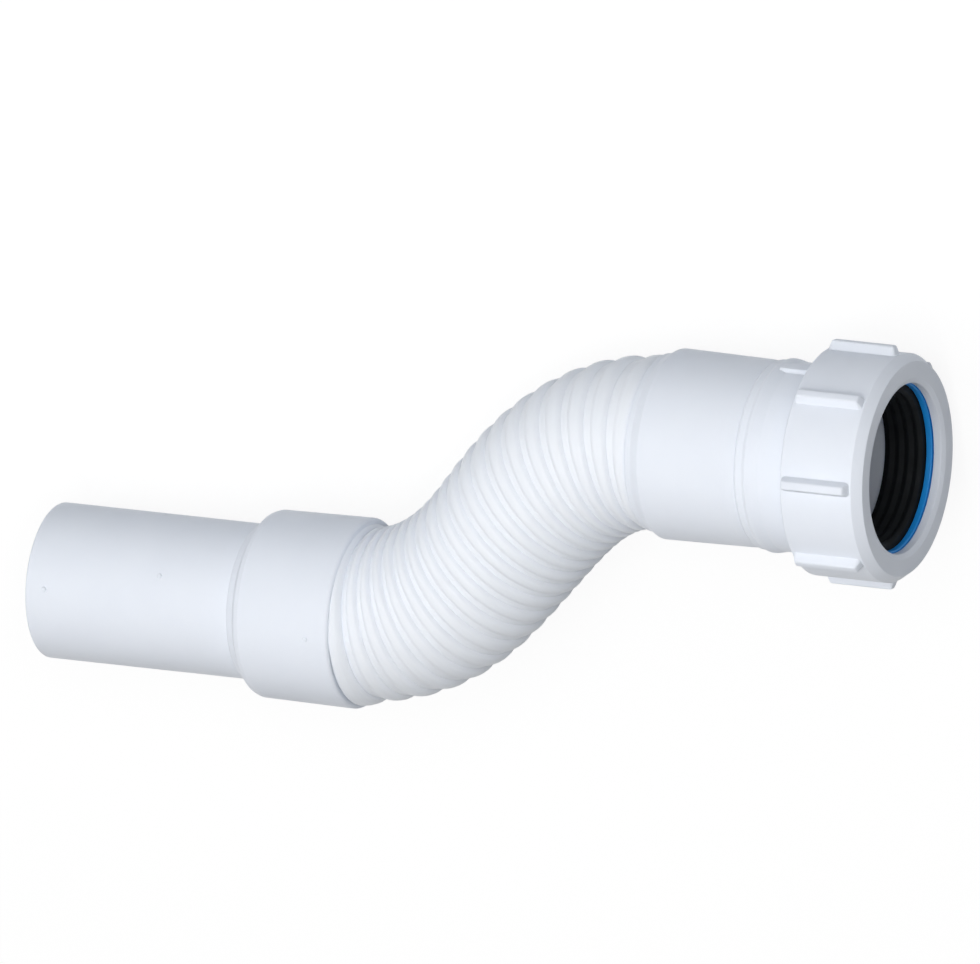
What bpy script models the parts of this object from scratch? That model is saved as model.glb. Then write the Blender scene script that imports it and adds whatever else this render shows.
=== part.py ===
# Flexible waste connector for a 40 mm pipe: a plain spigot and a compression socket, joined by a
# corrugated hose that is bent into an S. It lies as it comes to rest, on the edge of the spigot's
# open end and on two lugs of the nut.
# Metres, +Z up. Seen from above, +X runs from the spigot's open end to the nut's face.
# The origin is the middle of the object's outline seen from above, at the height of the floor.

import math

import bmesh
import bpy
import numpy as np
from mathutils import Matrix, Vector

# Fits
GAP = 0.0003
PLUG_GAP = 0.00035
PIPE_GAP = 0.0004
THREAD_GAP = 0.00035
SEAL_GAP = 0.0004

# Spigot and collar
SPIGOT_RADIUS = 0.0200
SPIGOT_WALL = 0.0021
SPIGOT_LENGTH = 0.0534
SPIGOT_EDGE = 0.0003
SHOULDER_LENGTH = 0.0070
COLLAR_WALL = 0.00135
COLLAR_LENGTH = 0.0269
COLLAR_TAPER = 0.0005
COLLAR_EDGE = 0.0005
COLLAR_FLARE = 0.0008
COLLAR_FLARE_LENGTH = 0.0040
COLLAR_FLOOR = 0.0016

# Hose
CROWN_RADIUS = 0.0224
VALLEY_DEPTH = 0.0022
HOSE_WALL = 0.0009
HOSE_RUN = 0.1085
FOLDS = 20
FOLD_SHOULDER = 0.2
BEND_DEG = 50.5
RING_TURN_SHARE = 0.9
MOUTH_INSET = 0.0021
PLUG_WALL = 0.0014
COLLAR_PLUG_LENGTH = 0.0200

# Cuff sleeve
CUFF_WALL = 0.0018
CUFF_RIM_WALL = 0.00055
CUFF_NOSE_LENGTH = 0.0040
CUFF_TAPER = 0.00035
CUFF_EDGE = 0.0005
CUFF_LENGTH = 0.0303

# Socket body
PIPE_RADIUS = 0.0215
BODY_WALL = 0.0025
TAIL_WALL = 0.0019
TAIL_LENGTH = 0.0220
STOP_DEPTH = 0.0048
JOINT_GROOVE = 0.0004
RIDGE_HEIGHT = 0.0004
RIDGE_LENGTH = 0.0026
BULGE_HEIGHT = 0.00075
BULGE_LENGTH = 0.0035
NECK_LENGTH = 0.0119
BARREL_WALL = 0.0017
BARREL_LENGTH = 0.0138
BARREL_RUNOUT = 0.0010
BARREL_EDGE = 0.0006
MOUTH_STEP = 0.0005
MOUTH_FLARE = 0.0022
MOUTH_LENGTH = 0.0092
RIB_HEIGHT = 0.0018
RIB_WIDTH = 0.0033
RIB_ROOT = 0.0006
RIB_INSET = 0.0009
SHORT_RIB_LENGTH = 0.0041
RIB_SPLIT = 0.0013
LONG_RIB_LENGTH = 0.0056
RIB_SPREAD_DEG = 21.5
MOULD_TURN_DEG = -33.4

# Seal and slip ring
SEAL_SQUEEZE = 0.0021
SEAL_RIB_HEIGHT = 0.0010
SEAL_RIBS = 4
SEAL_RIB_CREST = 0.6
SEAL_FLANGE = 0.0011
FLANGE_INSET = 0.0011
SLIP_RING_THICKNESS = 0.0020
SLIP_RING_INSET = 0.0011
SLIP_RING_CLEARANCE = 0.0001

# Compression nut
NUT_WALL = 0.0031
NUT_LENGTH = 0.0222
NUT_LIP = 0.0028
NUT_HOLE_CLEARANCE = 0.0006
NUT_HOLE_CHAMFER = 0.0014
NUT_HOLE_CHAMFER_LENGTH = 0.0007
NUT_CHAMFER = 0.00185
NUT_CHAMFER_LENGTH = 0.0025
NUT_REAR_CHAMFER = 0.0005
LUGS = 8
LUG_HEIGHT = 0.00245
LUG_WIDTH = 0.0027
LUG_LENGTH = 0.0187
LUG_SLOPE = 0.0010
LUG_ROOT = 0.0008

# How far the plane of the S leans from level where the nut stands on two lugs
S_LEAN_DEG = -14.4

# Facets
ROUND_STEPS = 48
HOSE_STEPS = 24
CURVE_STEPS = 600
SHOULDER_STEPS = 5
SMOOTH_DEG = 35.0

# Radii that follow
PLUG_SEAT_RADIUS = CROWN_RADIUS + PLUG_GAP
PLUG_BORE_RADIUS = CROWN_RADIUS - PLUG_WALL
TAIL_RADIUS = PLUG_BORE_RADIUS - PLUG_GAP
COLLAR_RADIUS = PLUG_SEAT_RADIUS + COLLAR_WALL
CUFF_RADIUS = PLUG_SEAT_RADIUS + CUFF_WALL
PIPE_BORE_RADIUS = PIPE_RADIUS + PIPE_GAP
NECK_RADIUS = PIPE_BORE_RADIUS + BODY_WALL
MOUTH_RADIUS = PIPE_BORE_RADIUS + MOUTH_STEP + MOUTH_FLARE
BARREL_RADIUS = MOUTH_RADIUS + BARREL_WALL
SEAL_BORE_RADIUS = PIPE_RADIUS - SEAL_SQUEEZE
NUT_BORE_RADIUS = BARREL_RADIUS + THREAD_GAP
NUT_RADIUS = NUT_BORE_RADIUS + NUT_WALL
NUT_HOLE_RADIUS = PIPE_RADIUS + NUT_HOLE_CLEARANCE
LUG_RADIUS = NUT_RADIUS + LUG_HEIGHT


def hose_curve():
    """Centreline of the curved run, in the plane of the S: lengths, distance along X and aside, turn."""
    lengths = np.linspace(0.0, HOSE_RUN, CURVE_STEPS + 1)
    turn = math.radians(BEND_DEG) * np.sin(math.pi * lengths / HOSE_RUN)
    step = np.diff(lengths)
    mean_turn = (turn[1:] + turn[:-1]) / 2
    along = np.concatenate([[0.0], np.cumsum(step * np.cos(mean_turn))])
    aside = np.concatenate([[0.0], np.cumsum(step * np.sin(mean_turn))])
    return lengths, along, aside, turn


CURVE_LENGTHS, CURVE_ALONG, CURVE_ASIDE, CURVE_TURN = hose_curve()
CURVE_ADVANCE = float(CURVE_ALONG[-1])
SIDE_OFFSET = float(CURVE_ASIDE[-1])

# Stations along X, counted from the spigot's open end
COLLAR_START = SPIGOT_LENGTH + SHOULDER_LENGTH
COLLAR_RIM = COLLAR_START + COLLAR_LENGTH
CURVE_START = COLLAR_RIM - MOUTH_INSET
CUFF_START = CURVE_START + CURVE_ADVANCE
CUFF_END = CUFF_START + CUFF_LENGTH
BODY_START = CUFF_END + GAP
BODY_END = BODY_START + RIDGE_LENGTH + BULGE_LENGTH + NECK_LENGTH + BARREL_LENGTH
SEAL_END = BODY_END + GAP + SEAL_FLANGE
SLIP_RING_START = SEAL_END + GAP
SLIP_RING_END = SLIP_RING_START + SLIP_RING_THICKNESS
NUT_END = SLIP_RING_END + GAP + NUT_LIP
NUT_START = NUT_END - NUT_LENGTH

# Directions, and the nut's axis, before the part is pitched onto the floor
S_LEAN = math.radians(S_LEAN_DEG)
ALONG = Vector((1.0, 0.0, 0.0))
ASIDE = Vector((0.0, math.cos(S_LEAN), math.sin(S_LEAN)))
UPWARD = ALONG.cross(ASIDE)
NUT_AXIS = ASIDE * SIDE_OFFSET

# The hose's two bends turn about the corners of its centreline.
BEND_REACH = CURVE_ADVANCE / 2 - SIDE_OFFSET / 2 / math.tan(math.radians(BEND_DEG))
COLLAR_BEND = ALONG * (CURVE_START + BEND_REACH)
CUFF_BEND = NUT_AXIS + ALONG * (CUFF_START - BEND_REACH)

# The floor touches the spigot's open end and the rear corners of the two lowest lugs.
HALF_LUG_TURN = math.pi / LUGS
LUG_DROP = LUG_RADIUS * math.cos(HALF_LUG_TURN) + LUG_WIDTH / 2 * math.sin(HALF_LUG_TURN)
PITCH = math.atan2(LUG_DROP - NUT_AXIS.z - SPIGOT_RADIUS, NUT_START - SPIGOT_EDGE)


def clear_scene():
    for obj in list(bpy.data.objects):
        bpy.data.objects.remove(obj, do_unlink=True)


def new_collection(name):
    collection = bpy.data.collections.new(name)
    bpy.context.scene.collection.children.link(collection)
    return collection


def plastic(name, colour, roughness):
    material = bpy.data.materials.new(name)
    material.use_nodes = True
    shader = material.node_tree.nodes["Principled BSDF"]
    shader.inputs["Base Color"].default_value = (*colour, 1.0)
    shader.inputs["Roughness"].default_value = roughness
    shader.inputs["Metallic"].default_value = 0.0
    return material


def add_empty(name, collection, location, parent=None, turn_y=0.0):
    empty = bpy.data.objects.new(name, None)
    empty.location = location
    empty.rotation_euler = (0.0, turn_y, 0.0)
    empty.parent = parent
    collection.objects.link(empty)
    return empty


def add_mesh(name, mesh, collection, parent=None, material=None):
    obj = bpy.data.objects.new(name, mesh)
    collection.objects.link(obj)
    obj.parent = parent
    if material:
        mesh.materials.append(material)
    return obj


def profile_mesh(name, outer, inner):
    """A closed section from (distance along the axis, radius) points, both sides listed from start to end."""
    loop = list(reversed(outer)) + list(inner)
    mesh = bpy.data.meshes.new(name)
    points = [(radius, 0.0, along) for along, radius in loop]
    edges = [(i, (i + 1) % len(points)) for i in range(len(points))]
    mesh.from_pydata(points, edges, [])
    return mesh


def turned(name, outer, inner, collection, parent, material, steps=ROUND_STEPS):
    obj = add_mesh(name, profile_mesh(name, outer, inner), collection, parent, material)
    screw = obj.modifiers.new("turn", "SCREW")
    screw.steps = steps
    screw.render_steps = steps
    screw.use_merge_vertices = True
    screw.merge_threshold = 0.00001
    screw.use_smooth_shade = True
    return baked(obj)


def baked(obj):
    """Replaces the object's mesh by its modifiers' result, shaded smooth but for its edges."""
    bpy.context.view_layer.update()
    evaluated = obj.evaluated_get(bpy.context.evaluated_depsgraph_get())
    mesh = bpy.data.meshes.new_from_object(evaluated)
    obj.modifiers.clear()
    obj.data = mesh
    mesh.shade_smooth()
    mesh.set_sharp_from_angle(angle=math.radians(SMOOTH_DEG))
    return obj


def radial_bars(name, collection, parent, angles, start, length, foot, top, width, slope=0.0):
    """Bars that stand on a round wall, each a box along the axis whose front end may slope down."""
    bm = bmesh.new()
    for angle in angles:
        made = bmesh.ops.create_cube(bm, size=1.0)["verts"]
        for vert in made:
            front, high = vert.co.z > 0, vert.co.x > 0
            along = start + (length if front else 0.0) - (slope if front and high else 0.0)
            vert.co = Vector((top if high else foot, vert.co.y * width, along))
        bmesh.ops.rotate(bm, verts=made, cent=(0, 0, 0), matrix=Matrix.Rotation(angle, 3, "Z"))
    mesh = bpy.data.meshes.new(name)
    bm.to_mesh(mesh)
    bm.free()
    bars = add_mesh(name, mesh, collection, parent)
    bars.hide_render = True
    bars.display_type = "WIRE"
    return bars


def join_bars(obj, bars):
    union = obj.modifiers.new("bars", "BOOLEAN")
    union.operation = "UNION"
    union.object = bars
    union.solver = "EXACT"
    baked(obj)


def spigot_tail(collection, parent, material):
    """Plain pipe end, a sloping shoulder, and the collar that holds the hose."""
    bore = SPIGOT_RADIUS - SPIGOT_WALL
    rim_radius = COLLAR_RADIUS + COLLAR_TAPER
    outer = [(0.0, SPIGOT_RADIUS - SPIGOT_EDGE), (SPIGOT_EDGE, SPIGOT_RADIUS)]
    for step in range(SHOULDER_STEPS + 1):
        share = step / SHOULDER_STEPS
        rise = (1 - math.cos(math.pi * share)) / 2
        radius = SPIGOT_RADIUS + (COLLAR_RADIUS - SPIGOT_RADIUS) * rise
        outer.append((SPIGOT_LENGTH + SHOULDER_LENGTH * share, radius))
    outer += [(COLLAR_RIM - COLLAR_EDGE, rim_radius), (COLLAR_RIM, rim_radius - COLLAR_EDGE)]
    inner = [
        (0.0, bore),
        (COLLAR_START - COLLAR_FLOOR, bore),
        (COLLAR_START, PLUG_SEAT_RADIUS),
        (COLLAR_RIM - COLLAR_FLARE_LENGTH, PLUG_SEAT_RADIUS),
        (COLLAR_RIM, PLUG_SEAT_RADIUS + COLLAR_FLARE),
    ]
    return turned("spigot_tail", outer, inner, collection, parent, material)


def hose_profile():
    """Outer and inner sides of the straight hose, with the curved run from 0 to HOSE_RUN."""
    pitch = HOSE_RUN / FOLDS
    valley = CROWN_RADIUS - VALLEY_DEPTH
    shoulder = CROWN_RADIUS - FOLD_SHOULDER * VALLEY_DEPTH
    plug_end = -FOLD_SHOULDER * pitch
    outer = [(-COLLAR_PLUG_LENGTH, CROWN_RADIUS), (plug_end, CROWN_RADIUS)]
    inner = [(-COLLAR_PLUG_LENGTH, PLUG_BORE_RADIUS), (plug_end - PLUG_WALL / 2, PLUG_BORE_RADIUS)]
    for fold in range(FOLDS):
        start = fold * pitch
        middle = start + pitch / 2
        outer += [
            (start, valley),
            (start + FOLD_SHOULDER * pitch, shoulder),
            (middle, CROWN_RADIUS),
            (start + (1 - FOLD_SHOULDER) * pitch, shoulder),
        ]
        inner += [(start, valley - HOSE_WALL), (middle, CROWN_RADIUS - HOSE_WALL)]
    # The last fold runs straight on into the cuff.
    outer[-1] = (HOSE_RUN + CUFF_LENGTH, CROWN_RADIUS)
    inner += [(HOSE_RUN, PLUG_BORE_RADIUS), (HOSE_RUN + CUFF_LENGTH, PLUG_BORE_RADIUS)]
    return outer, inner


def laid_on_curve(point):
    """Where a point of the straight hose lies once the hose is bent. Its Z counts along the hose."""
    within = min(max(point.z, 0.0), HOSE_RUN)
    along = float(np.interp(within, CURVE_LENGTHS, CURVE_ALONG)) + point.z - within
    aside = float(np.interp(within, CURVE_LENGTHS, CURVE_ASIDE))
    turn = float(np.interp(within, CURVE_LENGTHS, CURVE_TURN)) * RING_TURN_SHARE
    centre = ALONG * (CURVE_START + along) + ASIDE * aside
    across = ASIDE * math.cos(turn) - ALONG * math.sin(turn)
    return centre + across * point.y - UPWARD * point.x


def flexible_hose(collection, parent, material):
    """Corrugated tube with a plain plug at each end, turned straight and then bent."""
    outer, inner = hose_profile()
    obj = turned("flexible_hose", outer, inner, collection, parent, material, HOSE_STEPS)
    for vert in obj.data.vertices:
        vert.co = laid_on_curve(vert.co)
    obj.location = -CUFF_BEND
    return obj


def cuff_sleeve(collection, parent, material):
    """Ring that holds the other end of the hose on the socket body's tail."""
    nose_end = CUFF_START + CUFF_NOSE_LENGTH
    rim_radius = PLUG_SEAT_RADIUS + CUFF_RIM_WALL
    outer = [
        (CUFF_START, rim_radius),
        (CUFF_START + 0.7 * CUFF_NOSE_LENGTH, rim_radius + 0.8 * (CUFF_RADIUS - rim_radius)),
        (nose_end, CUFF_RADIUS),
        (CUFF_END - CUFF_EDGE, CUFF_RADIUS - CUFF_TAPER),
        (CUFF_END, CUFF_RADIUS - CUFF_TAPER - CUFF_EDGE),
    ]
    inner = [(CUFF_START, PLUG_SEAT_RADIUS), (CUFF_END, PLUG_SEAT_RADIUS)]
    return turned("cuff_sleeve", outer, inner, collection, parent, material)


def rib_angles():
    """Two pairs of ribs, one pair on each side of the moulding."""
    turn = math.radians(MOULD_TURN_DEG)
    spread = math.radians(RIB_SPREAD_DEG)
    return [turn + side * math.pi / 2 + sign * spread for side in (1, -1) for sign in (1, -1)]


def socket_body(collection, cutters, parent, material):
    """Tail inside the hose, ridge and bulge, neck with ribs, barrel for the thread and tapered mouth."""
    tail_start = BODY_START - TAIL_LENGTH
    tail_bore = TAIL_RADIUS - TAIL_WALL
    pipe_stop = BODY_START + STOP_DEPTH
    ridge_end = BODY_START + RIDGE_LENGTH
    bulge_end = ridge_end + BULGE_LENGTH
    barrel_start = BODY_END - BARREL_LENGTH
    mouth_start = BODY_END - MOUTH_LENGTH
    outer = [
        (tail_start, TAIL_RADIUS),
        (BODY_START, TAIL_RADIUS),
        (BODY_START, NECK_RADIUS - JOINT_GROOVE),
        (BODY_START + 0.4 * RIDGE_LENGTH, NECK_RADIUS + RIDGE_HEIGHT),
        (ridge_end, NECK_RADIUS),
        (ridge_end + 0.3 * BULGE_LENGTH, NECK_RADIUS + BULGE_HEIGHT),
        (ridge_end + 0.6 * BULGE_LENGTH, NECK_RADIUS + BULGE_HEIGHT),
        (bulge_end, NECK_RADIUS),
        (barrel_start - BARREL_RUNOUT, NECK_RADIUS),
        (barrel_start, BARREL_RADIUS),
        (BODY_END - BARREL_EDGE, BARREL_RADIUS),
        (BODY_END, BARREL_RADIUS - BARREL_EDGE),
    ]
    inner = [
        (tail_start, tail_bore),
        (pipe_stop, tail_bore),
        (pipe_stop, PIPE_BORE_RADIUS),
        (mouth_start, PIPE_BORE_RADIUS),
        (mouth_start, PIPE_BORE_RADIUS + MOUTH_STEP),
        (BODY_END, MOUTH_RADIUS),
    ]
    obj = turned("socket_body", outer, inner, collection, parent, material)
    short_start = NUT_START - RIB_INSET - SHORT_RIB_LENGTH
    long_start = short_start - RIB_SPLIT - LONG_RIB_LENGTH
    for name, start, length in (
        ("short_ribs", short_start, SHORT_RIB_LENGTH),
        ("long_ribs", long_start, LONG_RIB_LENGTH),
    ):
        size = (start, length, NECK_RADIUS - RIB_ROOT, NECK_RADIUS + RIB_HEIGHT, RIB_WIDTH)
        join_bars(obj, radial_bars(name, cutters, parent, rib_angles(), *size))
    return obj


def seal(collection, parent, material):
    """Tapered rubber sleeve with ribs in its bore and a flange over the body's rim."""
    start = BODY_END - MOUTH_LENGTH + GAP
    pitch = (SEAL_END - start) / SEAL_RIBS
    flange_radius = BARREL_RADIUS - FLANGE_INSET
    valley_radius = SEAL_BORE_RADIUS + SEAL_RIB_HEIGHT
    outer = [
        (start, PIPE_BORE_RADIUS + MOUTH_STEP - SEAL_GAP),
        (BODY_END, MOUTH_RADIUS - SEAL_GAP),
        (BODY_END + GAP, MOUTH_RADIUS - SEAL_GAP),
        (BODY_END + GAP, flange_radius),
        (SEAL_END, flange_radius),
    ]
    inner = []
    for rib in range(SEAL_RIBS):
        first = start + rib * pitch
        inner += [(first, valley_radius), (first + SEAL_RIB_CREST * pitch, SEAL_BORE_RADIUS)]
    inner.append((SEAL_END, valley_radius))
    return turned("seal", outer, inner, collection, parent, material)


def slip_ring(collection, parent, material):
    """Flat ring that lets the nut turn without dragging the seal."""
    radius = BARREL_RADIUS - SLIP_RING_INSET
    bore = PIPE_RADIUS + SLIP_RING_CLEARANCE
    outer = [(SLIP_RING_START, radius), (SLIP_RING_END, radius)]
    inner = [(SLIP_RING_START, bore), (SLIP_RING_END, bore)]
    return turned("slip_ring", outer, inner, collection, parent, material)


def compression_nut(collection, cutters, parent, material):
    """Round nut with lugs along its outside and a lip round the pipe's hole."""
    outer = [
        (NUT_START, NUT_RADIUS - NUT_REAR_CHAMFER),
        (NUT_START + NUT_REAR_CHAMFER, NUT_RADIUS),
        (NUT_END - NUT_CHAMFER_LENGTH, NUT_RADIUS),
        (NUT_END, NUT_RADIUS - NUT_CHAMFER),
    ]
    inner = [
        (NUT_START, NUT_BORE_RADIUS),
        (NUT_END - NUT_LIP, NUT_BORE_RADIUS),
        (NUT_END - NUT_LIP, NUT_HOLE_RADIUS),
        (NUT_END - NUT_HOLE_CHAMFER_LENGTH, NUT_HOLE_RADIUS),
        (NUT_END, NUT_HOLE_RADIUS + NUT_HOLE_CHAMFER),
    ]
    obj = turned("compression_nut", outer, inner, collection, parent, material)
    angles = [(2 * lug + 1) * HALF_LUG_TURN for lug in range(LUGS)]
    size = (NUT_START, LUG_LENGTH, NUT_RADIUS - LUG_ROOT, LUG_RADIUS, LUG_WIDTH, LUG_SLOPE)
    join_bars(obj, radial_bars("nut_lugs", cutters, parent, angles, *size))
    return obj


def set_down(lying, pieces):
    """Centres the outline on the origin and brings the lowest point to the floor."""
    bpy.context.view_layer.update()
    points = [piece.matrix_world @ vert.co for piece in pieces for vert in piece.data.vertices]
    low = [min(point[axis] for point in points) for axis in range(3)]
    high = [max(point[axis] for point in points) for axis in range(3)]
    lying.location = (-(low[0] + high[0]) / 2, -(low[1] + high[1]) / 2, -low[2])


def main():
    clear_scene()
    parts = new_collection("flexible_waste_connector")
    cutters = new_collection("cutters")
    white = plastic("white_polypropylene", (0.83, 0.86, 0.90), 0.38)
    rubber = plastic("black_rubber", (0.012, 0.013, 0.015), 0.55)
    blue = plastic("blue_polyethylene", (0.010, 0.145, 0.400), 0.40)
    lying = add_empty("lying", parts, (0.0, 0.0, 0.0), turn_y=-PITCH)
    nut_axis = add_empty("nut_axis", parts, NUT_AXIS, lying, math.pi / 2)
    cuff_bend = add_empty("cuff_bend", parts, CUFF_BEND, lying)
    collar_bend = add_empty("collar_bend", parts, COLLAR_BEND - CUFF_BEND, cuff_bend)
    spigot_axis = add_empty("spigot_axis", parts, -COLLAR_BEND, collar_bend, math.pi / 2)
    pieces = [
        spigot_tail(parts, spigot_axis, white),
        flexible_hose(parts, cuff_bend, white),
        cuff_sleeve(parts, nut_axis, white),
        socket_body(parts, cutters, nut_axis, white),
        seal(parts, nut_axis, rubber),
        slip_ring(parts, nut_axis, blue),
        compression_nut(parts, cutters, nut_axis, white),
    ]
    set_down(lying, pieces)


main()
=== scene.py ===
import math

import bmesh
import bpy
import numpy as np
from mathutils import Matrix, Vector


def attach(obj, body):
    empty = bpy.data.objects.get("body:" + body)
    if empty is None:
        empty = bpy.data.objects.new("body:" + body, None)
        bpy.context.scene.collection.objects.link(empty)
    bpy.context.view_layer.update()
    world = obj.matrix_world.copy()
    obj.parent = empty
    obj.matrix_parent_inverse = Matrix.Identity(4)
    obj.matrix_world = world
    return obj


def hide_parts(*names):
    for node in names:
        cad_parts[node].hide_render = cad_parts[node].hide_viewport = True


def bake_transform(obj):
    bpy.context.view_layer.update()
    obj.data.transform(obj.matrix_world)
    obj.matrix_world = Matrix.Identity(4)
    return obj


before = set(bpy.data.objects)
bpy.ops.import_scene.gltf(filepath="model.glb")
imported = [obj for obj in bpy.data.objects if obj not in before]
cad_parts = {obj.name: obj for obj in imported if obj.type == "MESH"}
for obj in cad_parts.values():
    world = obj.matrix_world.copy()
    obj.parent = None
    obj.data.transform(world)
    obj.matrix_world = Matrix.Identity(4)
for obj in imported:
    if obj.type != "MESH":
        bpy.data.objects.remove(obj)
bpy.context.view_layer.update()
print("frame loaded")

mm = 0.001
tiny = 1e-6  # a length that counts as none, mm

# how the connector lies. Pipe frame: origin on the spigot's open end, X along both pipes
lay = {
    "spigotEnd": (-0.121894, -0.02985, 0.019848),
    "pitch": 6.25232,  # degrees that both pipes climb toward the nut
    "lean": -14.4,  # degrees that the plane of the S leans from level
}
pipeToWorld = Matrix.Translation(lay["spigotEnd"]) @ Matrix.Rotation(-math.radians(lay["pitch"]), 4, "Y")

# the curved run of the hose, mm and degrees
bend = {
    "start": 85.2,  # distance of its first ring from the spigot's open end
    "run": 108.5,
    "folds": 20,
    "angle": 50.5,
    "ringShare": 0.9,  # the rings turn a little less than the centreline
    "samples": 601,  # points of the centreline
}


def bendCurve():
    steps = np.linspace(0.0, bend["run"], bend["samples"])
    turn = math.radians(bend["angle"]) * np.sin(math.pi * steps / bend["run"])
    middle = (turn[1:] + turn[:-1]) / 2
    length = np.diff(steps)
    along = np.concatenate([[0.0], np.cumsum(length * np.cos(middle))])
    aside = np.concatenate([[0.0], np.cumsum(length * np.sin(middle))])
    return steps, along, aside, turn


curveSteps, curveAlong, curveAside, curveTurn = bendCurve()
leanAngle = math.radians(lay["lean"])
alongAxis = Vector((1, 0, 0))
asideAxis = Vector((0, math.cos(leanAngle), math.sin(leanAngle)))
bendAxis = alongAxis.cross(asideAxis)
spigotCentre = Vector((0, 0, 0))
nutCentre = asideAxis * float(curveAside[-1])

cornerLimits = {
    "straight": 179,  # degrees; a corner more open than this stays as it is
    "sideShare": 0.49,  # the most of a side that one corner may take
}


def roundedPath(corners, segments=5):
    # corners are (along, radius, rounding) in mm; gives the closed outline with its corners rounded
    path = []
    count = len(corners)
    for i, (x, y, rounding) in enumerate(corners):
        here = Vector((x, y))
        before = Vector(corners[i - 1][:2]) - here
        after = Vector(corners[(i + 1) % count][:2]) - here
        if rounding <= 0 or before.length < tiny or after.length < tiny:
            path.append((x, y))
            continue
        opening = before.angle(after)
        if opening > math.radians(cornerLimits["straight"]):
            path.append((x, y))
            continue
        most = cornerLimits["sideShare"]
        reach = min(rounding / math.tan(opening / 2), most * before.length, most * after.length)
        first = here + before.normalized() * reach
        last = here + after.normalized() * reach
        radius = reach * math.tan(opening / 2)
        middle = (before.normalized() + after.normalized()).normalized()
        centre = here + middle * (radius / math.sin(opening / 2))
        a, b = first - centre, last - centre
        swing = a.angle(b)
        side = 1 if a.x * b.y - a.y * b.x > 0 else -1
        for k in range(segments + 1):
            turn = side * swing * k / segments
            c, s = math.cos(turn), math.sin(turn)
            path.append((centre.x + a.x * c - a.y * s, centre.y + a.x * s + a.y * c))
    return path


def subdivided(path, first, last, pitch):
    # adds points between the along values first and last, at most pitch apart, for a thread to be cut there
    fine = []
    for (x0, y0), (x1, y1) in zip(path, path[1:] + path[:1]):
        fine.append((x0, y0))
        length = math.dist((x0, y0), (x1, y1))
        if min(x0, x1) >= first - tiny and max(x0, x1) <= last + tiny and length > pitch:
            count = math.ceil(length / pitch)
            fine += [(x0 + (x1 - x0) * k / count, y0 + (y1 - y0) * k / count) for k in range(1, count)]
    return fine


def pipePoint(centre, along, radius, angle):
    # angle runs from straight down toward +Y, round the pipe's axis; mm in, metres in the pipe frame out
    return (centre + Vector((along, radius * math.sin(angle), -radius * math.cos(angle)))) * mm


def joinRings(bm, rings, closed):
    # faces between each ring of points and the next, and between the last and the first where closed
    following = rings[1:] + rings[:1] if closed else rings[1:]
    for a, b in zip(rings, following):
        count = len(a)
        for k in range(count):
            n = (k + 1) % count
            bm.faces.new((a[k], a[n], b[n], b[k]))


def addTurned(bm, path, centre, steps, relief=None):
    # turns the closed outline round the pipe's axis; relief adds to a point's radius
    rings = []
    for along, radius in path:
        ring = []
        for k in range(steps):
            angle = 2 * math.pi * k / steps
            r = radius + (relief(along, radius, angle) if relief else 0.0)
            ring.append(bm.verts.new(pipePoint(centre, along, r, angle)))
        rings.append(ring)
    joinRings(bm, rings, True)


lugEnd = {
    # how a lug rises along its slope: share of the slope, share of the height
    "rise": [(0.0, 0.04), (0.3, 0.34), (0.65, 0.74), (0.9, 0.94), (1.2, 1.0)],
    "width": 0.88,  # share of the full width at the foot of the slope
}


def addLug(bm, centre, angle, lug):
    # a lug or rib moulded on a round wall: rounded top, flared foot and sloped ends
    high = lug["top"] - lug["foot"]
    foot, top, flare = lug["footWidth"] / 2, lug["topWidth"] / 2, lug["flare"]
    corners = [(-foot - flare, 0.0, 0.0), (-foot, flare, flare), (-top, high, lug["rounding"])]
    section = roundedPath(corners + [(-x, y, r) for x, y, r in reversed(corners)])
    stations = [(lug["start"] + lug["slope"] * d, h) for d, h in lugEnd["rise"]]
    stations += [(lug["end"] - lug["slope"] * d, h) for d, h in reversed(lugEnd["rise"])]
    spin = Matrix.Rotation(angle, 3, "X")
    rings = []
    for along, share in stations:
        taper = lugEnd["width"] + (1 - lugEnd["width"]) * share
        rings.append([
            bm.verts.new((centre + spin @ Vector((along, x * taper, -lug["foot"] - y * share))) * mm)
            for x, y in section
        ])
    joinRings(bm, rings, False)
    bm.faces.new(rings[0])
    bm.faces.new(rings[-1])


def addObject(name, data):
    thing = bpy.data.objects.new(name, data)
    bpy.context.scene.collection.objects.link(thing)
    return thing


def finishMesh(name, bm, sharpAngle=38):
    # edges that turn more than sharpAngle degrees are shaded sharp
    bmesh.ops.recalc_face_normals(bm, faces=bm.faces[:])
    bm.transform(pipeToWorld)
    mesh = bpy.data.meshes.new(name)
    bm.to_mesh(mesh)
    bm.free()
    mesh.shade_smooth()
    mesh.set_sharp_from_angle(angle=math.radians(sharpAngle))
    return addObject(name, mesh)


thread = {
    "start": 222.3, "pitch": 3.0,
    "steepness": 1.7,  # above 1 the crests and the roots are flat
    "cut": 0.22,  # most that may lie between the rings it is cut with
}


def threadWave(along, angle, phase=0.0):
    # 1 on the thread's crest and 0 in its root, right-handed
    turn = ((along - thread["start"]) / thread["pitch"] - angle / (2 * math.pi) + phase) % 1.0
    wave = 0.5 + 0.5 * math.cos(2 * math.pi * turn) * thread["steepness"]
    return min(1.0, max(0.0, wave))


def fade(value, low, high):
    t = min(1.0, max(0.0, (value - low) / (high - low)))
    return t * t * (3 - 2 * t)


def hexColour(code):
    channels = [int(code[i:i + 2], 16) / 255 for i in (1, 3, 5)]
    return [c / 12.92 if c <= 0.04045 else ((c + 0.055) / 1.055) ** 2.4 for c in channels] + [1.0]


def addNode(tree, kind, settings, links=()):
    node = tree.nodes.new(kind)
    for name, value in settings.items():
        if isinstance(name, int) or name in node.inputs:
            node.inputs[name].default_value = value
        else:
            setattr(node, name, value)
    for source, socket in links:
        tree.links.new(source, node.inputs[socket])
    return node


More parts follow.
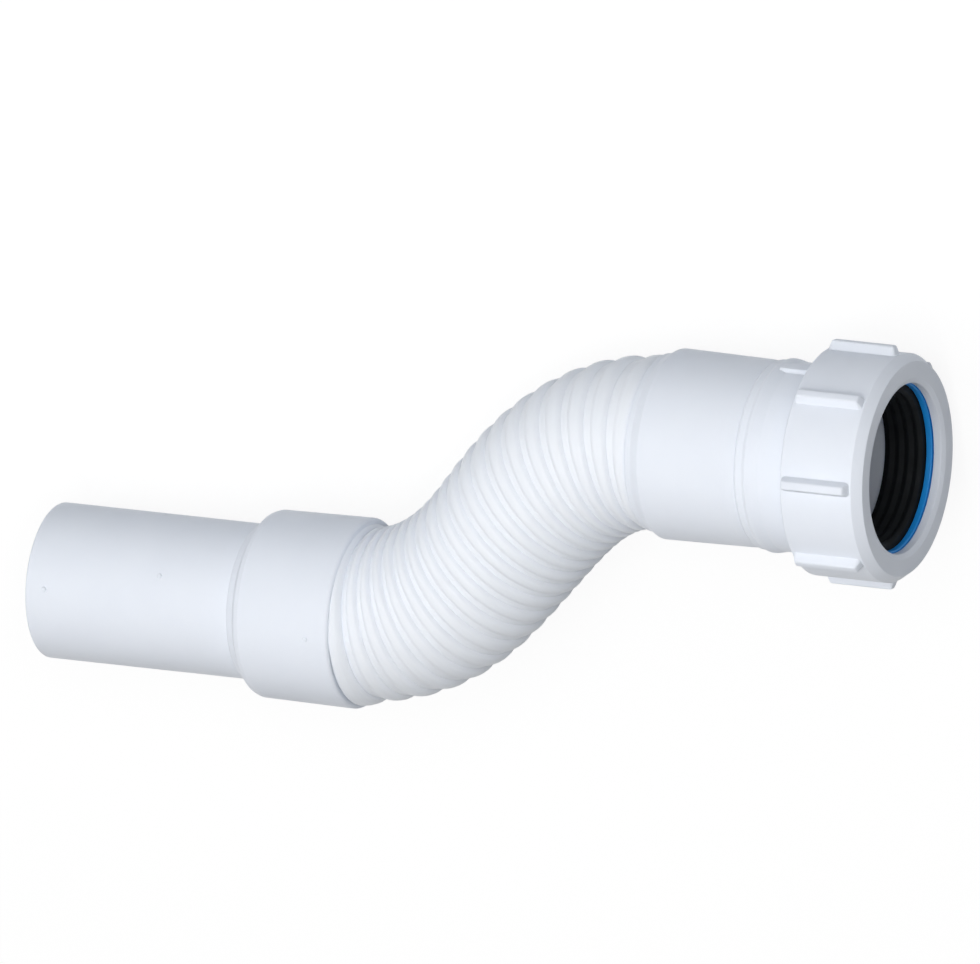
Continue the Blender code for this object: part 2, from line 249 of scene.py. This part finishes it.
def perMetre(size):
    return 1.0 / (size * mm)  # pattern scale for a feature of that many mm


# cloudDetail and grainDetail are how many finer layers each noise has
patterns = {
    "cloudDetail": 3.0, "grainDetail": 2.0,
    "usual": (0.3, 0.7),  # the noise seldom leaves these values
    "bumpStrength": 0.4,
    "scatterTint": (1.0, 0.95, 0.9),  # red light goes a little further in the plastic than blue
}
# cloud, grain, grainDepth and scatter are in mm. The real grains are about 0.1 mm, too fine for the
# picture, so they are drawn coarser
plastics = {
    # white polypropylene from a smooth mould: an even satin skin with soft, broad highlights and faint
    # clouding where the melt cooled at different speeds; thin edges let a little light through
    "mouldedPolypropylene": {
        "colour": "#EBF0F8", "shade": "#E6EBF4", "roughness": 0.42, "roughnessSpread": 0.05,
        "ior": 1.49, "gloss": 0.25, "cloud": 14.0, "grain": 0.5, "grainDepth": 0.010,
        "translucent": 0.06, "scatter": 1.5,
    },
    # the same plastic from a spark-eroded mould: a fine pebbled grip that breaks up the highlights
    "grainedPolypropylene": {
        "colour": "#EBF0F8", "shade": "#E6EBF4", "roughness": 0.44, "roughnessSpread": 0.05,
        "ior": 1.49, "gloss": 0.25, "cloud": 11.0, "grain": 0.45, "grainDepth": 0.035,
        "translucent": 0.06, "scatter": 1.5,
    },
    # the same plastic as a soft tube, blown out against a ribbed mould: its thin wall passes light on, so
    # that the grooves between the folds stay pale, and its skin is a little wavy
    "blowMouldedPolypropylene": {
        "colour": "#F1F5FB", "shade": "#EDF1F8", "roughness": 0.40, "roughnessSpread": 0.06,
        "ior": 1.49, "gloss": 0.25, "cloud": 9.0, "grain": 0.8, "grainDepth": 0.012,
        "translucent": 0.12, "scatter": 1.0,
    },
    # polyethylene coloured through, from a plain mould: a strong flat blue with a waxy sheen
    "bluePolyethylene": {
        "colour": "#1F95E7", "shade": "#1A8BDA", "roughness": 0.40, "roughnessSpread": 0.05,
        "ior": 1.51, "gloss": 0.4, "cloud": 5.0, "grain": 0.4, "grainDepth": 0.008,
        "translucent": 0.0, "scatter": 1.0,
    },
    # black rubber pressed in a matt mould: it swallows light, with only a dull, blotched shine on its ribs
    "blackRubber": {
        "colour": "#171A1C", "shade": "#121416", "roughness": 0.65, "roughnessSpread": 0.08,
        "ior": 1.50, "gloss": 0.10, "cloud": 4.0, "grain": 0.5, "grainDepth": 0.020,
        "translucent": 0.0, "scatter": 1.0,
    },
}


def makePlastic(name):
    look = plastics[name]
    rougher, smoother = (look["roughness"] + side * look["roughnessSpread"] for side in (1, -1))
    material = bpy.data.materials.new(name)
    material.use_nodes = True
    tree = material.node_tree
    tree.nodes.clear()
    place = addNode(tree, "ShaderNodeTexCoord", {})
    cloud = addNode(
        tree, "ShaderNodeTexNoise",
        {"Scale": perMetre(look["cloud"]), "Detail": patterns["cloudDetail"]},
        [(place.outputs["Object"], "Vector")],
    )
    grain = addNode(
        tree, "ShaderNodeTexNoise",
        {"Scale": perMetre(look["grain"]), "Detail": patterns["grainDetail"]},
        [(place.outputs["Object"], "Vector")],
    )
    colour = addNode(
        tree, "ShaderNodeMix",
        {"data_type": "RGBA", 6: hexColour(look["colour"]), 7: hexColour(look["shade"])},
        [(cloud.outputs["Fac"], 0)],
    )
    low, high = patterns["usual"]
    rough = addNode(
        tree, "ShaderNodeMapRange",
        {"From Min": low, "From Max": high, "To Min": smoother, "To Max": rougher},
        [(cloud.outputs["Fac"], "Value")],
    )
    bump = addNode(
        tree, "ShaderNodeBump",
        {"Strength": patterns["bumpStrength"], "Distance": look["grainDepth"] * mm},
        [(grain.outputs["Fac"], "Height")],
    )
    shader = addNode(
        tree, "ShaderNodeBsdfPrincipled",
        {
            "IOR": look["ior"], "Metallic": 0.0, "Specular IOR Level": look["gloss"],
            "Subsurface Weight": look["translucent"], "Subsurface Radius": patterns["scatterTint"],
            "Subsurface Scale": look["scatter"] * mm,
        },
        [
            (colour.outputs[2], "Base Color"), (rough.outputs["Result"], "Roughness"),
            (bump.outputs["Normal"], "Normal"),
        ],
    )
    addNode(tree, "ShaderNodeOutputMaterial", {}, [(shader.outputs["BSDF"], "Surface")])
    return material


def dress(piece, material, slot, *nodes):
    piece.data.materials.clear()
    piece.data.materials.append(material)
    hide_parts(*nodes)


fittingPlastic = makePlastic("mouldedPolypropylene")
nutPlastic = makePlastic("grainedPolypropylene")
hosePlastic = makePlastic("blowMouldedPolypropylene")
ringPlastic = makePlastic("bluePolyethylene")
sealRubber = makePlastic("blackRubber")
print("materials made")

spigot = {
    "radius": 20.0, "wall": 2.1, "end": 56.8, "steps": 160,
    "shoulder": [  # along, radius, rounding; the mould leaves two faint creases across the slope
        (57.45, 20.65, 0.3), (59.05, 21.45, 0.1), (60.4, 23.62, 0.9), (61.8, 24.18, 0.6),
    ],
    "collarStart": (63.2, 24.2), "collarRim": (87.3, 24.6), "rimRounding": 0.9,
    "seat": 22.75, "mouth": 22.8, "mouthLength": 0.6, "floor": 58.8, "floorSlope": 1.6,
    "gateMarks": [(5.4, 98.0), (37.1, 79.0), (81.0, 110.0)],  # along, and ring angle as the camera counts it
    "gateMark": {"radius": 0.95, "topShare": 0.5, "height": 0.3, "sides": 16},
    "gateMarkOnCollar": 24.48,  # the collar's radius at the third mark
}
cameraTurn = 53.6  # degrees from the camera's ring angle to the angle from straight down


def makeSpigot():
    bore = spigot["radius"] - spigot["wall"]
    rimAlong, rimRadius = spigot["collarRim"]
    corners = [(0.0, bore, 0.6), (0.0, spigot["radius"], 0.7), (spigot["end"], spigot["radius"], 0.25)]
    corners += spigot["shoulder"]
    corners += [
        (*spigot["collarStart"], 0.8),
        (rimAlong, rimRadius, spigot["rimRounding"]),
        (rimAlong, spigot["mouth"], 0.15),
        (rimAlong - spigot["mouthLength"], spigot["seat"], 0.5),
        (spigot["floor"] + spigot["floorSlope"], spigot["seat"], 0.3),
        (spigot["floor"], bore, 0.3),
    ]
    bm = bmesh.new()
    addTurned(bm, roundedPath(corners), spigotCentre, spigot["steps"])
    mark = spigot["gateMark"]
    for along, ring in spigot["gateMarks"]:
        angle = math.radians(ring + cameraTurn)
        base = spigot["radius"] if along < spigot["end"] else spigot["gateMarkOnCollar"]
        outward = Vector((0, math.sin(angle), -math.cos(angle)))
        made = bmesh.ops.create_cone(
            bm, cap_ends=True, segments=mark["sides"],
            radius1=mark["radius"] * mm, radius2=mark["radius"] * mark["topShare"] * mm,
            depth=2 * mark["height"] * mm,  # its lower half is in the wall
        )["verts"]
        turn = outward.to_track_quat("Z", "Y").to_matrix()
        for vert in made:
            vert.co = turn @ vert.co + pipePoint(spigotCentre, along, base, angle)
    piece = finishMesh("spigotAndCollar", bm)
    dress(piece, fittingPlastic, "fitting_plastic", "spigot_tail")
    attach(piece, "spigot")


makeSpigot()
print("spigot made")

hose = {
    "crown": 22.4, "wall": 0.9, "steps": 112, "sharpAngle": 50,
    "rowStep": 0.04,  # share of a fold between the rings of its outside
    "innerRows": 6, "innerFullness": 0.8,  # rings of its inside; below 1 that arch is fuller than a sine
    # one fold: share of its length, and mm below the crown. A groove with a step, then the crown
    "fold": [
        (0.0, 1.20), (0.05, 1.08), (0.12, 0.96), (0.20, 0.90), (0.28, 0.92), (0.34, 0.82), (0.39, 0.55),
        (0.45, 0.24), (0.54, 0.07), (0.66, 0.0), (0.78, 0.06), (0.87, 0.26), (0.94, 0.70), (1.0, 1.20),
    ],
    # the fold's corners are rounded off over a window of samples; margin is the share added at each end
    "softening": {"margin": 0.2, "samples": 701, "window": 35},
    # the first fold starts plain, in the collar's mouth, and swells up against the rim: share, radius
    "neckRadius": 22.68,
    "bead": [(0.39, 23.6), (0.58, 23.5), (0.76, 23.1), (0.90, 22.5), (1.0, 21.7)],
    # each fold reaches under its neighbours, which hides most gaps in a bend; depths are below the groove
    "lip": {"length": 2.1, "start": 0.12, "edge": 0.32, "underside": 0.55},
    "sag": 1.35,  # how far the middle of the run hangs off the even S, toward the spigot's line
    # the folds that are pulled most are slimmer: place and spread are shares of the run, depth in mm
    "waist": {"place": 0.40, "spread": 0.17, "depth": 0.75},
    "plug": (20.0, 30.3), "plugBore": 21.0, "plugRadius": 22.7, "plugStep": 0.4,
}


def smoothFold():
    # the fold's points joined by straight lines and then rounded off
    soft = hose["softening"]
    shares = np.linspace(-soft["margin"], 1 + soft["margin"], soft["samples"])
    knots, drops = zip(*hose["fold"])
    window = np.hanning(soft["window"])
    return shares, np.convolve(np.interp(shares % 1.0, knots, drops), window / window.sum(), "same")


foldShares, foldDrops = smoothFold()


def foldRadius(phase):
    return hose["crown"] - float(np.interp(phase, foldShares, foldDrops))


def ringAt(s):
    # middle of the hose's ring at s mm along the run, and the directions across it and through it
    inside = min(max(s, 0.0), bend["run"])
    along = float(np.interp(inside, curveSteps, curveAlong)) + s - inside
    sag = hose["sag"] * math.sin(math.pi * inside / bend["run"])
    aside = float(np.interp(inside, curveSteps, curveAside)) - sag
    turn = float(np.interp(inside, curveSteps, curveTurn)) * bend["ringShare"]
    centre = alongAxis * (bend["start"] + along) + asideAxis * aside
    across = asideAxis * math.cos(turn) - alongAxis * math.sin(turn)
    normal = alongAxis * math.cos(turn) + asideAxis * math.sin(turn)
    return centre, across, normal


def waistAt(s):
    waist = hose["waist"]
    return waist["depth"] * math.exp(-(((s / bend["run"] - waist["place"]) / waist["spread"]) ** 2))


def hosePiece(name, outline):
    # outline is a closed loop of (s, radius)
    bm = bmesh.new()
    rings = []
    for s, radius in outline:
        centre, across, _ = ringAt(s)
        radius -= waistAt(s)
        ring = []
        for k in range(hose["steps"]):
            angle = 2 * math.pi * k / hose["steps"]
            aside, down = radius * math.sin(angle), radius * math.cos(angle)
            ring.append(bm.verts.new((centre + across * aside - bendAxis * down) * mm))
        rings.append(ring)
    joinRings(bm, rings, True)
    return finishMesh(name, bm, hose["sharpAngle"])


def timeOfShare(share):
    # the blend weight is t*t*(3-2t); this gives t for a wanted weight
    return 0.5 - math.sin(math.asin(1 - 2 * min(1.0, max(0.0, share))) / 3)


def shareOfHose(s):
    # how much of the middle body's turn the ring at s takes
    return math.sin(math.pi * min(max(s, 0.0), bend["run"]) / bend["run"])


def bendFold(piece, s0, s1, shareOf):
    # works out blend times for the fold's two ends, which are not used, and bakes the fold's placement into
    # its mesh
    t0, t1 = timeOfShare(shareOf(s0)), timeOfShare(shareOf(s1))
    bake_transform(piece)


def foldOutline(fold, valley, inner):
    # one fold's wall, from its start over the crown to its end, and back along its inside; (s, radius)
    pitch = bend["run"] / bend["folds"]
    s0, s1 = fold * pitch, (fold + 1) * pitch
    rows = {hose["rowStep"] * k for k in range(round(1 / hose["rowStep"]) + 1)}
    rows = sorted(rows | {share for share, _ in hose["fold"]})
    outline = [(s0 + p * pitch, foldRadius(p)) for p in rows]
    if fold == 0:
        beadShares, beadRadii = zip(*hose["bead"])
        plain = [p for p in rows if p <= beadShares[0]]
        swollen = sorted({p for p in rows if p > beadShares[0]} | set(beadShares))
        outline = [(s0 + p * pitch, hose["neckRadius"]) for p in plain]
        for p in swollen:
            outline.append((s0 + p * pitch, max(foldRadius(p), float(np.interp(p, beadShares, beadRadii)))))
    lip = hose["lip"]
    reach, top = lip["length"], valley - lip["start"]
    edge, underside = valley - lip["edge"], valley - lip["underside"]
    if fold < bend["folds"] - 1:
        outline += [(s1, top), (s1 + reach, edge), (s1 + reach, underside)]
    for k in range(hose["innerRows"], -1, -1):
        p = k / hose["innerRows"]
        arch = math.sin(math.pi * p) ** hose["innerFullness"] if 0 < p < 1 else 0.0
        outline.append((s0 + p * pitch, inner + (hose["crown"] - valley) * arch))
    if fold > 0:
        outline += [(s0 - reach, underside), (s0 - reach, edge), (s0, top)]
    return s0, s1, outline


def makeHose():
    valley = foldRadius(0.0)
    inner = valley - hose["wall"]
    for fold in range(bend["folds"]):
        s0, s1, outline = foldOutline(fold, valley, inner)
        piece = hosePiece(f"hoseFold{fold + 1:02d}", outline)
        if fold < bend["folds"] / 2:
            bendFold(piece, s0, s1, lambda s: 1 - shareOfHose(s))
        else:
            bendFold(piece, s0, s1, shareOfHose)
        dress(piece, hosePlastic, "hose_plastic", "flexible_hose")
    run, bore, full, step = bend["run"], hose["plugBore"], hose["plugRadius"], hose["plugStep"]
    collarPlug, cuffPlug = hose["plug"]
    outlines = {
        "hosePlugInCollar": [
            (-collarPlug, bore, 0.2), (-collarPlug, full, 0.4), (-step, full, 0.3),
            (0.0, valley, 0.0), (0.0, inner, 0.0), (-step, bore, 0.4),
        ],
        "hosePlugInCuff": [
            (run, inner, 0.0), (run, valley, 0.0), (run + step, full, 0.3),
            (run + cuffPlug, full, 0.4), (run + cuffPlug, bore, 0.2), (run + step, bore, 0.4),
        ],
    }
    for name, body in (("hosePlugInCollar", "spigot"), ("hosePlugInCuff", "socket")):
        piece = hosePiece(name, roundedPath(outlines[name], 3))
        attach(piece, body)
        dress(piece, hosePlastic, "hose_plastic", "flexible_hose")


makeHose()
print("hose made")

cuff = {
    "start": 173.63, "end": 204.75, "seat": 22.75, "rim": 22.95,
    "lip": 1.5, "lipRise": 0.12, "nose": 4.1,
    "radius": 24.6, "taperEnd": (202.2, 24.22), "endRadius": 23.95, "steps": 160,
}


def makeCuff():
    corners = [
        (cuff["start"], cuff["seat"], 0.1),
        (cuff["start"], cuff["rim"], 0.1),
        (cuff["start"] + cuff["lip"], cuff["rim"] + cuff["lipRise"], 0.5),
        (cuff["start"] + cuff["nose"], cuff["radius"], 0.9),
        (*cuff["taperEnd"], 1.2),
        (cuff["end"], cuff["endRadius"], 0.2),
        (cuff["end"], cuff["seat"], 0.1),
    ]
    bm = bmesh.new()
    addTurned(bm, roundedPath(corners), nutCentre, cuff["steps"])
    piece = finishMesh("cuffSleeve", bm)
    dress(piece, fittingPlastic, "fitting_plastic", "cuff_sleeve")
    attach(piece, "socket")


makeCuff()
print("cuff made")

body = {
    "start": 204.23, "end": 236.03, "tailLength": 22.0, "tail": 20.65, "tailWall": 1.9, "steps": 160,
    "stop": 4.8, "bore": 21.9, "mouthLength": 9.2, "mouthStep": 0.5, "mouth": 24.6,
    "ridge": [  # along, radius, rounding of the two ring lines
        (204.75, 23.9, 0.1), (205.5, 24.5, 0.5), (206.8, 24.35, 0.4), (207.25, 24.4, 0.2),
        (208.1, 25.1, 0.7), (209.3, 24.95, 1.4), (211.6, 24.4, 1.2),
    ],
    "neck": 24.4, "barrelSlope": 0.9, "barrelStart": 222.23, "threadMargin": 1.0,
    "crest": 26.28, "root": 25.1,
    "threadedFrom": 24.9,  # the thread is cut only outside this radius
    "runIn": (-0.2, 1.5),  # from the barrel's start, where the thread grows to its depth
}
ribs = {
    "angles": [78.1, 258.1],  # one on each side of the moulding, degrees from straight down
    "start": 209.1, "end": 220.2, "top": 25.3, "foot": 24.1,
    "topWidth": 3.5, "footWidth": 4.5, "rounding": 0.5, "flare": 0.4, "slope": 0.6,
}


def barrelRelief(along, radius, angle):
    if radius < body["threadedFrom"] or along < body["barrelStart"]:
        return 0.0
    depth = radius - body["root"]
    first, last = (body["barrelStart"] + step for step in body["runIn"])
    return -max(0.0, depth) * (1 - threadWave(along, angle)) * fade(along, first, last)


def makeBody():
    tailStart = body["start"] - body["tailLength"]
    tailBore = body["tail"] - body["tailWall"]
    stop = body["start"] + body["stop"]
    mouthStart = body["end"] - body["mouthLength"]
    corners = [
        (tailStart, tailBore, 0.3),
        (tailStart, body["tail"], 0.3),
        (body["ridge"][0][0], body["tail"], 0.0),
    ]
    corners += body["ridge"]
    corners += [
        (body["barrelStart"] - body["barrelSlope"], body["neck"], 0.4),
        (body["barrelStart"], body["crest"], 0.3),
        (body["end"], body["crest"], 0.7),
        (body["end"], body["mouth"], 0.2),
        (mouthStart, body["bore"] + body["mouthStep"], 0.1),
        (mouthStart, body["bore"], 0.1),
        (stop, body["bore"], 0.2),
        (stop, tailBore, 0.2),
    ]
    threadStart = body["barrelStart"] - body["threadMargin"]
    path = subdivided(roundedPath(corners), threadStart, body["end"], thread["cut"])
    bm = bmesh.new()
    addTurned(bm, path, nutCentre, body["steps"], barrelRelief)
    for angle in ribs["angles"]:
        addLug(bm, nutCentre, math.radians(angle), ribs)
    piece = finishMesh("socketBody", bm)
    dress(piece, fittingPlastic, "fitting_plastic", "socket_body")
    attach(piece, "socket")


makeBody()
print("socket body made")

sealShape = {
    "start": 227.13, "bodyEnd": 236.03, "end": 237.8, "gap": 0.4, "flange": 25.2, "flangeGap": 0.3,
    "bore": 19.5, "valley": 20.15, "ribs": 4, "steps": 128,
    "ribTop": 0.62, "ribFoot": 0.12,  # where in each rib's share of the bore
}


def makeSeal():
    s = sealShape
    pitch = (s["end"] - s["start"]) / s["ribs"]
    corners = [
        (s["start"], s["valley"], 0.3),
        (s["start"], body["bore"] + body["mouthStep"] - s["gap"], 0.3),
        (s["bodyEnd"] + s["flangeGap"], body["mouth"] - s["gap"], 0.1),
        (s["bodyEnd"] + s["flangeGap"], s["flange"], 0.2),
        (s["end"], s["flange"], 0.3),
        (s["end"], s["valley"], 0.3),
    ]
    for rib in reversed(range(s["ribs"])):
        first = s["start"] + rib * pitch
        corners += [
            (first + s["ribTop"] * pitch, s["bore"], 0.5),
            (first + s["ribFoot"] * pitch, s["valley"], 0.3),
        ]
    bm = bmesh.new()
    addTurned(bm, roundedPath(corners), nutCentre, s["steps"])
    piece = finishMesh("ribbedSeal", bm)
    dress(piece, sealRubber, "seal_rubber", "seal")
    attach(piece, "socket")


makeSeal()

slipRing = {
    "start": 238.1, "end": 239.73, "bore": 21.6, "radius": 25.2, "rounding": 0.25, "steps": 128,
}


def makeSlipRing():
    r = slipRing
    sides = [("start", "bore"), ("start", "radius"), ("end", "radius"), ("end", "bore")]
    corners = [(r[along], r[radius], r["rounding"]) for along, radius in sides]
    bm = bmesh.new()
    addTurned(bm, roundedPath(corners), nutCentre, r["steps"])
    piece = finishMesh("slipRing", bm)
    dress(piece, ringPlastic, "ring_plastic", "slip_ring")
    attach(piece, "ring")


makeSlipRing()
print("seal and slip ring made")

nut = {
    "start": 220.33, "end": 242.83, "radius": 29.6, "face": 27.75, "chamfer": 2.5, "rearChamfer": 0.3,
    "lip": 2.8, "hole": 22.1, "holeMouth": 23.5, "holeMouthDepth": 0.7, "steps": 192,
    "threadRoot": 26.65, "threadCrest": 25.35, "threadEnd": 236.6,
    "threadLead": 0.6, "runIn": 2.0,  # from its start, where the thread begins and where it is full
    "runOut": 1.4,  # the length that it fades out over
    "phase": 0.5,  # of a turn: its crests lie in the barrel's roots
}
lugs = {
    "count": 8, "start": 220.7, "end": 240.0, "top": 31.95, "foot": 29.2,
    "topWidth": 2.1, "footWidth": 3.7, "rounding": 0.6, "flare": 0.45, "slope": 1.15,
}


def nutRelief(along, radius, angle):
    first, last = nut["start"] + nut["threadLead"], nut["threadEnd"]
    onWall = math.isclose(radius, nut["threadRoot"], abs_tol=0.05)
    if not (onWall and first < along < last):
        return 0.0
    grown = fade(along, first, nut["start"] + nut["runIn"])
    faded = fade(along, last - nut["runOut"], last)
    wave = threadWave(along, angle, nut["phase"])
    return (nut["threadCrest"] - nut["threadRoot"]) * wave * (grown * (1 - faded))


def makeNut():
    n = nut
    corners = [
        (n["start"], n["threadRoot"], 0.2),
        (n["start"], n["radius"] - n["rearChamfer"], 0.2),
        (n["start"] + n["rearChamfer"], n["radius"], 0.3),
        (n["end"] - n["chamfer"], n["radius"], 0.5),
        (n["end"], n["face"], 0.35),
        (n["end"], n["holeMouth"], 0.25),
        (n["end"] - n["holeMouthDepth"], n["hole"], 0.2),
        (n["end"] - n["lip"], n["hole"], 0.1),
        (n["end"] - n["lip"], n["threadRoot"], 0.2),
    ]
    path = subdivided(roundedPath(corners), n["start"], n["end"] - n["lip"], thread["cut"])
    bm = bmesh.new()
    addTurned(bm, path, nutCentre, n["steps"], nutRelief)
    for k in range(lugs["count"]):  # two of them stand on the floor, either side of straight down
        addLug(bm, nutCentre, math.radians((k + 0.5) * 360 / lugs["count"]), lugs)
    piece = finishMesh("compressionNut", bm)
    dress(piece, nutPlastic, "fitting_plastic", "compression_nut")
    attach(piece, "nut")


makeNut()
print("nut made")

view = {
    "scale": 3907.0,  # pixels of the photograph for each metre
    "imageWidth": 980, "imageHeight": 964,
    # where the middle of the spigot's open end lies in the photograph
    "spigotEndX": 57.1, "spigotEndY": 579.8,
    "axisToSight": 66.0,  # degrees between the pipes and the line of sight
    "axisSlope": 6.2,  # degrees that the pipes run down to the right
    "ringToDown": 306.4,  # ring angle of straight down, from the photograph's upward side toward the camera
    "distance": 1.0, "clip": (0.01, 10.0),
}


def sightFrame():
    # the camera's right, up and toward, then the pipes' course and the ring directions at 0 and 90 degrees
    sight, slope, down = (math.radians(view[k]) for k in ("axisToSight", "axisSlope", "ringToDown"))
    turn = pipeToWorld.to_3x3()
    course = turn @ Vector((1, 0, 0))
    downward, sideways = turn @ Vector((0, 0, -1)), turn @ Vector((0, 1, 0))
    ringTop = downward * math.cos(down) - sideways * math.sin(down)
    ringFront = downward * math.sin(down) + sideways * math.cos(down)
    across, along = math.sin(sight), math.cos(sight)
    level, steep = math.cos(slope), math.sin(slope)
    right = course * (across * level) + ringTop * steep - ringFront * (along * level)
    up = -course * (across * steep) + ringTop * level + ringFront * (along * steep)
    toward = course * along + ringFront * across
    return right, up, toward, course, ringTop, ringFront


right, up, toward, pipeCourse, upright, frontal = sightFrame()


def makeCamera():
    data = bpy.data.cameras.new("camera")
    data.type = "ORTHO"
    data.ortho_scale = view["imageWidth"] / view["scale"]
    data.clip_start, data.clip_end = view["clip"]
    camera = addObject("camera", data)
    centreX, centreY = view["imageWidth"] / 2, view["imageHeight"] / 2
    place = Vector(lay["spigotEnd"])
    place += right * ((centreX - view["spigotEndX"]) / view["scale"])
    place += up * ((view["spigotEndY"] - centreY) / view["scale"])
    place += toward * view["distance"]
    camera.matrix_world = Matrix.Translation(place) @ Matrix((right, up, toward)).transposed().to_4x4()
    bpy.context.scene.camera = camera


makeCamera()

light = {
    "ambient": 0.12,
    "boxDistance": 1.3, "boxSize": 0.9,
    # what the camera sees of the floor is its glow and a faint shade that takes the shadow
    "floorGlow": 0.90, "floorShade": 0.12,
    "floorColour": "#BEC2C7",  # what the floor throws back on the connector
    "floorSize": 3.0, "floorDrop": 0.0002,
}
# ring angle as the camera counts it, degrees of tilt toward the nut, watts
softboxes = {
    "keySoftbox": {"ring": 95.0, "tilt": 12.0, "power": 5.2},
    "frontSoftbox": {"ring": 90.0, "tilt": 24.0, "power": 4.2},
    "spigotSoftbox": {"ring": 98.0, "tilt": -52.0, "power": 3.4},
    "overheadSoftbox": {"ring": 126.0, "tilt": 0.0, "power": 5.1},
}


def makeSoftbox(name, box):
    data = bpy.data.lights.new(name, "AREA")
    data.energy = box["power"]
    data.shape = "DISK"
    data.size = light["boxSize"]
    lamp = addObject(name, data)
    ring, tilt = math.radians(box["ring"]), math.radians(box["tilt"])
    around = upright * math.cos(ring) + frontal * math.sin(ring)
    course = around * math.cos(tilt) + pipeCourse * math.sin(tilt)
    lamp.location = course * light["boxDistance"]
    lamp.rotation_mode = "QUATERNION"
    lamp.rotation_quaternion = (-course).to_track_quat("-Z", "Y")


def seenRay(tree):
    # 1 for rays that show the background: camera, mirror and glass rays
    path = addNode(tree, "ShaderNodeLightPath", {})
    first = addNode(
        tree, "ShaderNodeMath", {"operation": "MAXIMUM"},
        [(path.outputs["Is Camera Ray"], 0), (path.outputs["Is Glossy Ray"], 1)],
    )
    return addNode(
        tree, "ShaderNodeMath", {"operation": "MAXIMUM"},
        [(first.outputs[0], 0), (path.outputs["Is Transmission Ray"], 1)],
    )


def makeWorld():
    world = bpy.data.worlds.new("studio")
    bpy.context.scene.world = world
    world.use_nodes = True
    tree = world.node_tree
    tree.nodes.clear()
    seen = seenRay(tree)
    strength = addNode(
        tree, "ShaderNodeMapRange", {"To Min": light["ambient"], "To Max": 1.0},
        [(seen.outputs[0], "Value")],
    )
    glow = addNode(
        tree, "ShaderNodeBackground", {"Color": (1, 1, 1, 1)}, [(strength.outputs["Result"], "Strength")],
    )
    addNode(tree, "ShaderNodeOutputWorld", {}, [(glow.outputs[0], "Surface")])


def makeFloor():
    material = bpy.data.materials.new("paleStudioFloor")
    material.use_nodes = True
    tree = material.node_tree
    tree.nodes.clear()
    seen = seenRay(tree)
    matt = addNode(tree, "ShaderNodeBsdfDiffuse", {"Color": hexColour(light["floorColour"])})
    shade = light["floorShade"]
    faint = addNode(tree, "ShaderNodeBsdfDiffuse", {"Color": (shade, shade, shade, 1)})
    glow = addNode(tree, "ShaderNodeEmission", {"Strength": light["floorGlow"]})
    shown = addNode(tree, "ShaderNodeAddShader", {}, [(faint.outputs[0], 0), (glow.outputs[0], 1)])
    mix = addNode(
        tree, "ShaderNodeMixShader", {},
        [(seen.outputs[0], 0), (matt.outputs[0], 1), (shown.outputs[0], 2)],
    )
    addNode(tree, "ShaderNodeOutputMaterial", {}, [(mix.outputs[0], "Surface")])
    bm = bmesh.new()
    bmesh.ops.create_grid(bm, x_segments=1, y_segments=1, size=light["floorSize"])
    mesh = bpy.data.meshes.new("floor")
    bm.to_mesh(mesh)
    bm.free()
    mesh.materials.append(material)
    floor = addObject("floor", mesh)
    floor.location.z = -light["floorDrop"]


for name, box in softboxes.items():
    makeSoftbox(name, box)
makeWorld()
makeFloor()
bpy.context.scene.view_settings.view_transform = "Standard"
print("camera, floor and light made")

bpy.context.view_layer.update()
